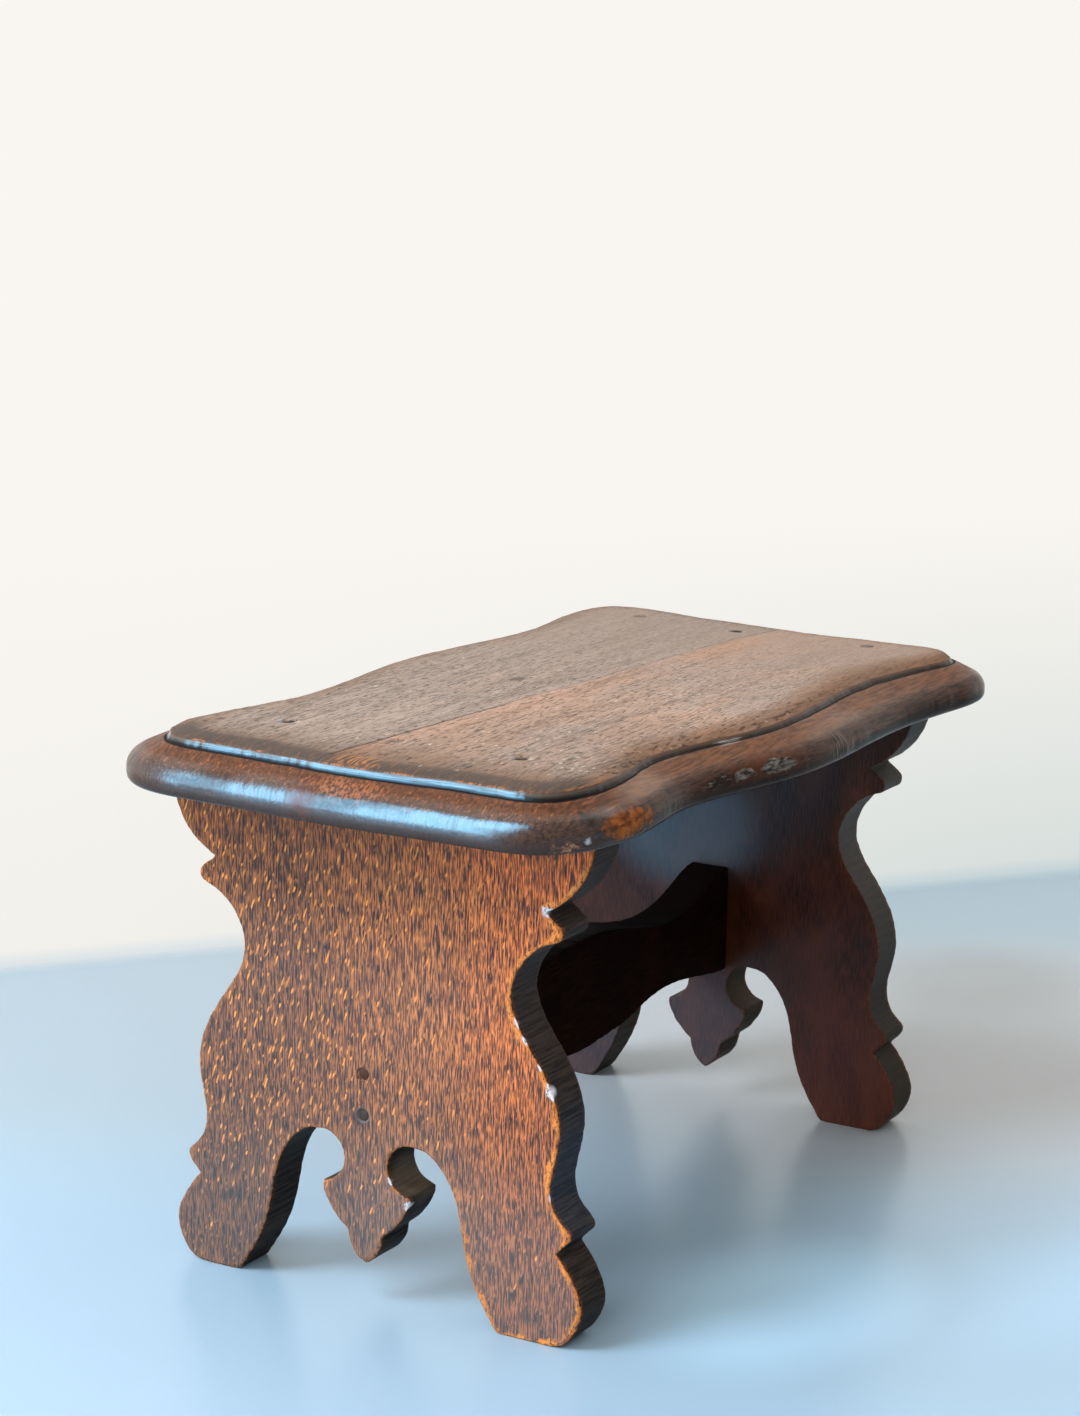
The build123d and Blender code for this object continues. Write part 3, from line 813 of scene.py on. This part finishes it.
field_points = [(-0.94, -0.06), (-0.915, 0.49), (-0.885, 0.747), (-0.779, 0.837), (-0.5, 0.767),
                (0.034, 0.818), (0.523, 0.748), (0.765, 0.798), (0.918, 0.735), (0.928, 0.46),
                (0.92, -0.059), (0.892, -0.643), (0.845, -0.853), (0.686, -0.856), (0.374, -0.799),
                (-0.136, -0.843), (-0.517, -0.748), (-0.746, -0.81), (-0.915, -0.723), (-0.927, -0.517)]
nail_places = [(-127.58, 54.22), (-132.94, 3.2), (-132.74, -49.42), (149.9, 53.86), (143.76, 2.85),
               (145.61, -59.27)]
pit_depths = (1, 0.8, 1, 0.45, 0.9, 0.45)
pit_half, pit_rim = (3.3, 2.7), 1.18  # their halves, and the share of them that is sunk

chords = np.diff(np.vstack([seat_points, seat_points[:1]]) * seat_half, axis=0)
spans = [int(np.linalg.norm(chord) / 1.15) for chord in chords]
seat_line, field_line = (
    smooth_line(np.array(line) * seat_half, (0, 1), (0, 1), 1.0, closed=True, spans=spans)[::-1]
    for line in (seat_points, field_points))
count = len(seat_line)
girth = np.linalg.norm(np.roll(seat_line, -1, axis=0) - seat_line, axis=1).sum()

quarter, nose_turn = np.linspace(0, math.pi / 2, 5), np.radians(np.linspace(0, 60.0, 11))
section = [(0.9, 0.0), (0.4, 0.0)]
section += [(under_round / nose_wide * (1 - math.sin(t)), under_round * (1 - math.cos(t))) for t in quarter]
section += [(0.0, 3.9)]
section += [(nose_round * (1 - math.cos(t)) / nose_wide, 5.0 + nose_round * math.sin(t)) for t in nose_turn]
section += [(share, 11.93 + (share - 0.308) / 0.572 * 4.28)
            for share in (0.37, 0.45, 0.54, 0.63, 0.72, 0.81, 0.88)]
section += [(0.925, 16.4), (0.952, 16.42), (0.972, 16.55), (0.99, 16.8), (1.012, 17.18), (1.032, 17.63)]
section += [(1.05, 18.12), (1.066, 18.65), (1.08, 19.15), (1.096, 19.43), (1.122, 19.62)]
section += [(1.122 + 0.568 * v, 19.62 + 1.38 * (1 - (1 - v) ** 1.8)) for v in np.linspace(0, 1, 9)[1:]]
shares, heights = np.array(section).T
rings = len(section)


def sheet_noise(points, waves, seed, many=40):
    """Smooth random height over a plan: a sum of plane waves of random heading and phase, with
    wavelengths between the two given. Mostly between -1 and 1."""
    draw = np.random.default_rng(seed)
    lengths = np.exp(draw.uniform(math.log(waves[0]), math.log(waves[1]), many))
    heading, phase = draw.uniform(0, 2 * math.pi, many), draw.uniform(0, 2 * math.pi, many)
    total = np.zeros(len(points))
    for length, way, start in zip(lengths, heading, phase):
        total += np.cos(2 * math.pi * (points @ (math.cos(way), math.sin(way))) / length + start)
    return total / math.sqrt(many)


def top_wear(points, rise, share):
    """How far the top is worn down at each place of the plan, in millimetres: a broad hollow at the
    far end, shallow waves over the field, and an arris above the step that is worn round except at
    the near end. share is the place's share of the section."""
    x, y = points[:, 0], points[:, 1]
    round_off = 1.3 * np.clip((x + 140) / 30, 0, 1) * np.exp(-((share - 1.1) / 0.13) ** 2)
    far_end = 1.9 * np.exp(-((x - 172) / 33) ** 2 - ((y + 25) / 52) ** 2)
    waves = 0.1 + 0.1 * sheet_noise(points, (18, 90), 81) + 0.045 * sheet_noise(points, (5, 14), 82)
    return (far_end + np.clip(waves, 0, None)) * rise + round_off


def joint_gap(points):
    """Distance of each place of the plan from the glued joint, positive behind it."""
    return (points - joint_left) @ joint_side


def sink_field(points):
    """Depth of the small things in the field: nail pits, which are ovals with steep sides, and the
    opened joint, which is a narrow groove that closes towards the right end."""
    pit = np.zeros(len(points))
    for place, deep in zip(nail_places, pit_depths):
        far = (np.abs((points - place) / pit_half) ** 3).sum(1) ** (1 / 3)
        pit = np.maximum(pit, deep * np.clip((pit_rim - far) / 0.3, 0, 1))
    gap = np.abs(joint_gap(points))
    opened = 0.12 + 0.5 * np.clip((-40 - points[:, 0]) / 90, 0, 1)
    return pit + opened * np.clip(1 - gap / 0.75, 0, 1)


# The section is carried round: each ring lies some share of the way from the outline of the seat
# to that of its field. The step and the nose wander a little, as hand-cut ones do.
ledge = 0.018 * wander(count, girth, (14, 80), 71) + 0.006 * wander(count, girth, (4, 9), 72)
at_step = np.clip((shares - 0.5) / 0.4, 0, 1) * np.clip((1.5 - shares) / 0.4, 0, 1)
at_nose = np.clip((heights - 0.5) / 3, 0, 1) * np.clip((1.0 - shares) / 0.3, 0, 1)
cut = 0.16 * wander(count, girth, (18, 90), 73) + 0.07 * wander(count, girth, (5, 14), 74)
mixed = shares[:, None] + at_step[:, None] * ledge
plan = seat_line + mixed[:, :, None] * (field_line - seat_line)
plan = plan + np.minimum(at_nose[:, None] * cut, 0.0)[:, :, None] * loop_normals(seat_line)
worn_down = top_wear(plan.reshape(-1, 2), np.repeat(np.clip((heights - 6) / 8, 0, 1), count),
                     np.repeat(shares, count))
band = np.column_stack([plan.reshape(-1, 2), base_high + np.repeat(heights, count) - worn_down])
at = np.arange(count)
quads = band_quads(rings, count)

# Field and underside: flat fills, with closer points along the joint and round the nails.
inner = grid_points((-170, -96), (172, 96), 2.3, 1.15)
inner = inner[np.abs(joint_gap(inner)) > 2.0]
along = joint_left + np.arange(10.5, 362.5, 1.7)[:, None] * joint_run
inner = np.vstack([inner, *(along + off * joint_side for off in (-1.4, -0.75, -0.38, 0.38, 0.75, 1.4))])
for place in nail_places:
    inner = inner[np.hypot(*(inner - place).T) > 5.4]
oval = oval_ring(26, 3) * pit_half
inner = np.vstack([inner, *(oval * size + place for place in nail_places
                            for size in (0.45, 0.88, 1.0, 1.1, pit_rim, 1.4))])
top_points, top_tris = fill_loop(plan[-1], inner, 1.0)
more = top_points[count:]
field = np.column_stack([more, seat_top - top_wear(more, 1.0, 9.0) - sink_field(more)])
under_points, under_tris = fill_loop(plan[0], grid_points((-170, -96), (172, 96), 9.0), 4.0)
under = np.column_stack([under_points[count:], np.full(len(under_points) - count, base_high)])
top_index = np.concatenate([(rings - 1) * count + at, len(band) + np.arange(len(more))])
under_index = np.concatenate([at, len(band) + len(more) + np.arange(len(under))])
points = np.vstack([band, field, under])
points[:, 2] = np.clip(points[:, 2], base_high, seat_top)
faces = [*quads.tolist(), *top_index[top_tris].tolist(), *under_index[under_tris][:, ::-1].tolist()]
to_rim = reach_to(more, plan[-1][::2])
way_in = np.concatenate([np.repeat(shares, count), shares[-1] + to_rim / nose_wide,
                         np.full(len(under), 0.9)])
level = np.concatenate([np.repeat(heights, count), np.full(len(more), seat_thick), np.zeros(len(under))])
whole = make_piece("seat_whole", points, faces, {"way_in": way_in, "level": level})
whole.data.polygons.foreach_set("use_smooth", np.arange(len(faces)) < len(quads) + len(top_tris))


def part_seat(name, side):
    """One board of the seat: the whole cut along the upright plane of the joint, and closed there."""
    mesh = bmesh.new()
    mesh.from_mesh(whole.data)
    place = Vector((*joint_left, 0.0)) * MM
    bmesh.ops.bisect_plane(mesh, geom=[*mesh.verts, *mesh.edges, *mesh.faces], plane_co=place,
                           plane_no=Vector((*joint_side, 0.0)), clear_inner=side > 0, clear_outer=side < 0)
    rim = [edge for edge in mesh.edges if edge.is_boundary]
    closing = bmesh.ops.contextual_create(mesh, geom=rim)["faces"]
    for face in closing:
        face.smooth = False
        for edge in face.edges:
            edge.smooth = False
    bmesh.ops.recalc_face_normals(mesh, faces=mesh.faces)
    data = bpy.data.meshes.new(name)
    mesh.to_mesh(data)
    mesh.free()
    return place_object(name, data)


def seat_wood(name):
    """Wood with its grain along the seat. The field is worn matt and grey-brown, its greyness partly a
    painted sheen, with dark pores and orange wear; the moulding is darker and waxed, black in the quirk
    and rubbed along its arrises. Painted glints sit by some nails, along the quirk and at a corner."""
    material = new_material(name)
    place = node("TexCoord").outputs["Object"]
    along, across, _ = node("SeparateXYZ", {0: place}).outputs
    way_in, level = marked("way_in", "level")
    behind = vectors("DOT_PRODUCT", place, (*joint_side.tolist(), 0))
    behind = maths("SUBTRACT", behind, float(joint_left @ joint_side) * MM)
    back = ramp(behind, -0.0003, 0.0003)
    fibre = pattern((0.09, 0.85, 0.85), detail=4, rough=0.65)
    streak = pattern((0.01, 0.17, 0.17), detail=3)
    pores = pattern((0.19, 0.95, 0.95), detail=1)
    ticks = pattern((0.26, 1, 1), detail=1)
    cloud = pattern((0.011, 0.028, 0.028), detail=4, twist=0.5)
    mottle = pattern((0.06, 0.17, 0.17), detail=4)
    rubs = pattern((0.05, 0.9, 0.9), (0, 0, 0.15), detail=2)
    torn = pattern((0.5, 1.3, 1.3), detail=3, rough=0.7)

    # the field: its grey-brown holds a painted sheen besides the worn wood's own tone
    grain = plus(times(fibre, 0.65), times(streak, 0.35))
    front = rest(back)
    warm = times(ramp(cloud, 0.42, 0.6), ramp(back, 0, 1, 0.75, 0.2))
    beside = times(ramp(behind, -0.02, -0.001), front, 0.4)
    specked = maths("MULTIPLY_ADD", times(front, ramp(cloud, 0.62, 0.4)), 0.22, 0.02)
    warmed = spot(place, (98, -13, 215), (46, 12, 9), 0.3)
    plain_field = blend(back, (0.3, 0.207, 0.156), (0.27, 0.2, 0.158))
    knot = spot(place, (-8.4, 24.7, 215), (7, 4, 4), 0.2)
    opened = times(ramp(maths("ABSOLUTE", behind), 0.00062, 0.0003),
                   ramp(along, -0.035, -0.075, 0.3, 1))
    field = layers(
        (0.185, 0.132, 0.101),
        (ramp(grain, 0.38, 0.5), (0.305, 0.217, 0.168)),
        (ramp(grain, 0.5, 0.62), (0.375, 0.277, 0.222)),
        (warm, (1.16, 1, 0.88), "MULTIPLY"),
        (beside, (1.22, 0.98, 0.84), "MULTIPLY"),
        ((back, 0.9), (0.93, 0.98, 1.02), "MULTIPLY"),
        (ramp(mottle, 0.42, 0.28, 0, 0.8), (0.68, 0.68, 0.7), "MULTIPLY"),
        (ramp(ticks, 0.6, 0.7, 0, 0.55), (0.47, 0.355, 0.28)),
        (ramp(pores, 0.43, 0.34, 0, 0.75), (0.07, 0.047, 0.037)),
        ((front, ramp(along, -0.02, -0.1)), (0.91, 0.91, 0.91), "MULTIPLY"),
        (flecks(along, across, (6, 3.4), (0.1, 0.2), specked), (0.53, 0.4, 0.31)),
        (ramp(along, -0.04, 0.14, 0, 0.62), plain_field),
        ((warmed, front), (1.06, 0.95, 0.86), "MULTIPLY"),
        ((knot, 0.75), (0.08, 0.055, 0.042)),
        ((opened, 0.92), (0.018, 0.012, 0.01)))

    # nail pits: each is dark, and beside some lie a painted bluish glint on one side and a pale bruise on
    # the other
    for (x, y), sunk, bright in zip(nail_places, (0.95, 0.45, 0.95, 0.4, 0.9, 0.3),
                                    (0.5, 0.25, 0.55, 0, 0.15, 0)):
        slot = spot(place, (x, y, 214.6), (4.1, 3.1, 4), 0.7)
        painted_glint = spot(place, (x - 1, y + 3.2, 215), (2.6, 0.9, 2), 0.4)
        bruise = spot(place, (x + 0.5, y - 3.7, 215), (2.8, 1, 2), 0.4)
        field = layers(
            field,
            ((slot, sunk), (0.016, 0.012, 0.01)),
            ((painted_glint, bright), (0.42, 0.5, 0.6)),
            ((bruise, bright), (0.6, 0.47, 0.38)))
    for x, y in ((-163.7, -26.4), (-166.4, -32.6), (-162.0, -40.5)):
        field = blend(spot(place, (x, y, 214.5), (1.6, 0.55, 2), 0.6), field, (0.86, 0.84, 0.82))

    # its rim: browner all round, with a dark fall at the near end and rubbed streaks by the joint
    rim = ramp(way_in, 2.3, 1.15)
    near_end = ramp(along, -0.14, -0.16)
    fall = times(near_end, ramp(way_in, 2.15, 1.55))
    orange = (0.5, 0.19, 0.06)
    by_joint = spot(place, (-167, -4, 214), (8, 17, 4), 0.3)
    field = layers(
        field,
        ((rim, 0.8), (0.6, 0.47, 0.37), "MULTIPLY"),
        (ramp(along, -0.128, -0.166), (0.6, 0.54, 0.49), "MULTIPLY"),
        ((fall, 0.9), (0.07, 0.052, 0.042)),
        ((rim, ramp(rubs, 0.52, 0.62), ramp(near_end, 0, 1, 0.1, 0.12)), orange),
        ((by_joint, ramp(rubs, 0.44, 0.58), 0.75), orange))

    # the moulding
    hollow = most(spot(place, (-120, -94, 206), (30, 16, 12), 0.3),
                  times(spot(place, (22, -103, 205), (42, 16, 9), 0.3), 0.6))
    slope = layers(
        (0.058, 0.021, 0.01),
        (ramp(fibre, 0.36, 0.62), (0.124, 0.045, 0.019)),
        (ramp(along, -0.15, -0.125), (1.42, 1.68, 1.9), "MULTIPLY"),
        (hollow, (0.09, 0.07, 0.055), "ADD"))
    nose = layers(
        (0.026, 0.013, 0.009),
        (ramp(fibre, 0.36, 0.64), (0.075, 0.034, 0.021)),
        (ramp(level, 5.5, 3, 0, 0.7), (0.052, 0.037, 0.032)),
        ((ramp(along, -0.15, -0.11), ramp(level, 6.5, 2.5)), (0.3, 0.25, 0.22), "MULTIPLY"))
    ragged = node("TexNoise", {"Vector": place, "Scale": 220, "Detail": 3}).outputs["Color"]
    ragged = vectors("ADD", ragged, (-0.5, -0.5, -0.5))
    ragged = vectors("MULTIPLY_ADD", ragged, (0.016, 0.01, 0.01), place)
    frayed = vectors("MULTIPLY", vectors("ADD", place, ragged), (0.5, 0.5, 0.5))
    gap = times(spot(ragged, (-185, 9.5, 202), (9, 10, 9), 0.15), 0.7)
    worn = spot(ragged, (-180, -7, 207.5), (9, 22, 5), 0.3)
    corner = spot(ragged, (-143, -100, 201), (21, 11, 5.4), 0.55)
    around = spot(ragged, (-157, -98, 202), (11, 9, 7.5), 0.3)
    patches = pattern((0.22, 0.4, 0.4), detail=4, rough=0.65)
    edge = layers(
        nose,
        (ramp(level, 10.5, 13.5), slope),
        ((ramp(rubs, 0.59, 0.67), ramp(level, 8, 12, 0.15, 1),
          ramp(along, -0.15, -0.125, 0.7, 0.2)), (0.28, 0.088, 0.03)),
        ((gap, ramp(mottle, 0.35, 0.55), 0.8), (0.15, 0.048, 0.028)),
        ((worn, ramp(rubs, 0.42, 0.58), 0.9), (0.3, 0.1, 0.04)),
        ((around, 0.8), (0.035, 0.016, 0.009)))
    ember = blend(ramp(patches, 0.36, 0.64), (0.095, 0.028, 0.01), (0.37, 0.108, 0.021))
    knot = most(spot(ragged, (-164, -95, 205), (5, 6, 3.6), 0.5),
                spot(ragged, (-160.5, -97.5, 199.5), (3, 6, 3), 0.5))
    edge = layers(
        edge,
        ((corner, 0.92), ember),
        ((knot, 0.9), (0.012, 0.008, 0.006)),
        # a painted bluish glint low on the near corner of the nose
        ((spot(frayed, (-167, -96, 198.6), (2.2, 4, 1.3), 0.2), 0.8), (0.5, 0.52, 0.6)),
        ((spot(ragged, (-172.5, -92, 196), (8, 7, 2.4), 0.3), ramp(torn, 0.44, 0.54), 0.8),
         (0.42, 0.2, 0.12)))
    for x, y, z, wide in ((-184.3, -9.8, 205.0, 3.2), (-181.5, 59.0, 203.8, 4.0)):
        bow = times(spot(place, (x, y, z), (8, wide, 2.6), 0.8),
                    rest(spot(place, (x, y, z + 0.7), (8, wide * 0.85, 2.3), 0.85)))
        edge = blend(times(bow, 0.6), edge, (0.006, 0.004, 0.004))
    saw = pattern((1, 0.03, 0.12), detail=1)
    hollows = most(spot(place, (-110, -98, 197), (11, 10, 6), 0.5),
                   spot(place, (16, -107, 200), (15, 10, 7), 0.5))
    reddish = spot(ragged, (-44, -103, 202.5), (34, 9, 5.5), 0.4)
    splits = pattern((0.17, 0.9, 0.9), detail=3, rough=0.6)
    gouge = most(spot(frayed, (-57, -101, 201.4), (7.5, 8, 2.3), 0.7),
                 spot(frayed, (-36, -105, 201.5), (14, 8, 2.7), 0.7))
    bite = most(spot(ragged, (-73, -98.5, 201), (15, 7, 3), 0.5),
                times(spot(ragged, (-48, -103, 201.5), (36, 9, 4.6), 0.5), 0.55))
    step = times(ramp(way_in, 0.955, 0.985), ramp(level, 19.5, 19.1))
    wrapped = {0: times(way_in, 60), 1: times(level, 3), 2: times(plus(along, across), 60)}
    scraped = noise(node("CombineXYZ", wrapped).outputs[0], detail=3, rough=0.6)
    edge = layers(
        edge,
        ((hollows, ramp(saw, 0.47, 0.38), 0.85), (0.012, 0.008, 0.007)),
        ((hollows, ramp(saw, 0.53, 0.64), 0.5), (0.21, 0.17, 0.135)),
        (spot(place, (98, -106, 198.4), (28, 12, 6.2), 0.4), (0.45, 0.38, 0.34), "MULTIPLY"),
        ((reddish, 0.85), (0.13, 0.04, 0.016)),
        ((bite, 0.9), (0.02, 0.011, 0.008)),
        (gouge, blend(ramp(splits, 0.34, 0.68), (0.016, 0.011, 0.009), (0.2, 0.18, 0.16))),
        ((spot(place, (-74, -98.5, 201.5), (12, 7, 2), 0.4), ramp(splits, 0.54, 0.62), 0.7),
         (0.22, 0.19, 0.17)))
    crisp = ramp(along, -0.128, -0.15)
    worn_step = blend(ramp(level, 17.2, 19), (0.008, 0.006, 0.005), (0.12, 0.08, 0.062))
    crisp_step = blend(ramp(level, 17.4, 18.8), (0.01, 0.008, 0.007), (0.095, 0.068, 0.054))
    quirk = times(ramp(way_in, 0.89, 0.945), ramp(level, 17.1, 16.7))
    arris = times(ramp(level, 19.15, 19.45), ramp(level, 19.85, 19.6))
    is_field = ramp(level, 19.3, 19.6)
    edge = layers(
        edge,
        (step, blend(crisp, worn_step, crisp_step)),
        ((quirk, 0.95), (0.007, 0.0055, 0.005)),
        # a painted pale highlight along the quirk, broken up into dots
        ((spot(place, (-48, -90, 210.9), (12, 6, 1.2), 0.4), ramp(scraped, 0.5, 0.58)),
         (0.5, 0.48, 0.46)))
    lines = pattern((0.03, 0.09, 0.03), (0, 0, 0.3), detail=3)
    worn_arris = most(ramp(lines, 0.48, 0.62, 0.05, 0.7), times(by_joint, 0.9))
    face = layers(
        edge,
        (is_field, field),
        ((arris, ramp(rubs, 0.4, 0.54), worn_arris, ramp(crisp, 0, 1, 0.12, 1)), (0.5, 0.17, 0.05)))

    relief = plus(times(fibre, 0.5), times(pores, 0.9), times(most(gouge, corner), torn, 2))
    dull = most(gap, corner, gouge, quirk)
    waxed = plus(ramp(mottle, 0.3, 0.7, 0.17, 0.27),
                 times(ramp(level, 11.5, 13.5), ramp(level, 16.9, 16.4), 0.16), times(dull, 0.3))
    ends = most(ramp(along, -0.136, -0.156, 0.05, 1), ramp(along, 0.136, 0.156, 0.05, 0.3))
    polish = times(ends, ramp(across, 0.1, 0.084, 0.15, 1), rest(dull), rest(is_field),
                   ramp(level, 3, 6.5, 0.12, 1), ramp(level, 12, 14.5, 1, 0.16))
    lobes = pattern((0.01, 0.034, 0.1), (0, 0, 0.2), detail=3, rough=0.5)
    hairs = pattern((0.1, 1, 0.05), detail=2)
    polish = times(polish, ramp(lobes, 0.34, 0.54, 0.42, 1), ramp(hairs, 0.3, 0.55, 0.72, 1))
    polish = most(polish, times(ends, step, ramp(scraped, 0.36, 0.62, 0.25, 1),
                                ramp(level, 16.9, 17.8), ramp(level, 19.3, 18.8)))
    rough = blend(is_field, waxed, ramp(fibre, 0.3, 0.7, 0.55, 0.68))
    finish(face, rough, 1.17, relief, blend(is_field, 0.16, 0.6), 0.4, (polish, 0.25, 1.7))
    return material


seat_material = seat_wood("seat_wood")
for name, side, replaced in (("seat_back", 1, "seat_board_back"), ("seat_front", -1, "seat_board_front")):
    piece = part_seat(name, side)
    piece.data.materials.append(seat_material)
    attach(piece, "root")
    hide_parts(replaced)
bpy.data.objects.remove(whole)


# Seat nails: six cut nails with rough oblong heads, driven through the seat into the ends of the
# boards and sunk in small pits.
head_sunk = 0.35
nails = [((x, y, seat_top - head_sunk - deep * 0.55), (0, 0, -1), (1, 0, 0), (0, 1, 0),
          21 + i) for i, ((x, y), deep) in enumerate(zip(nail_places, pit_depths))]
points, faces = driven_nails(nails, (2.75, 1.9, 5.0, 0.3, 1.2), 2.8, 43.0, 0.8)
nail_heads = make_piece("seat_nail_heads", points, faces)
hidden = [(*nail_places[i], seat_top) for i in (1, 3, 5)]
nail_heads.data.materials.append(iron("nail_iron", (0.022, 0.014, 0.01), (0.016, 0.0155, 0.017), 0.3,
                                      hidden, (0.15, 0.115, 0.095)))
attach(nail_heads, "root")
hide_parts("seat_nails")
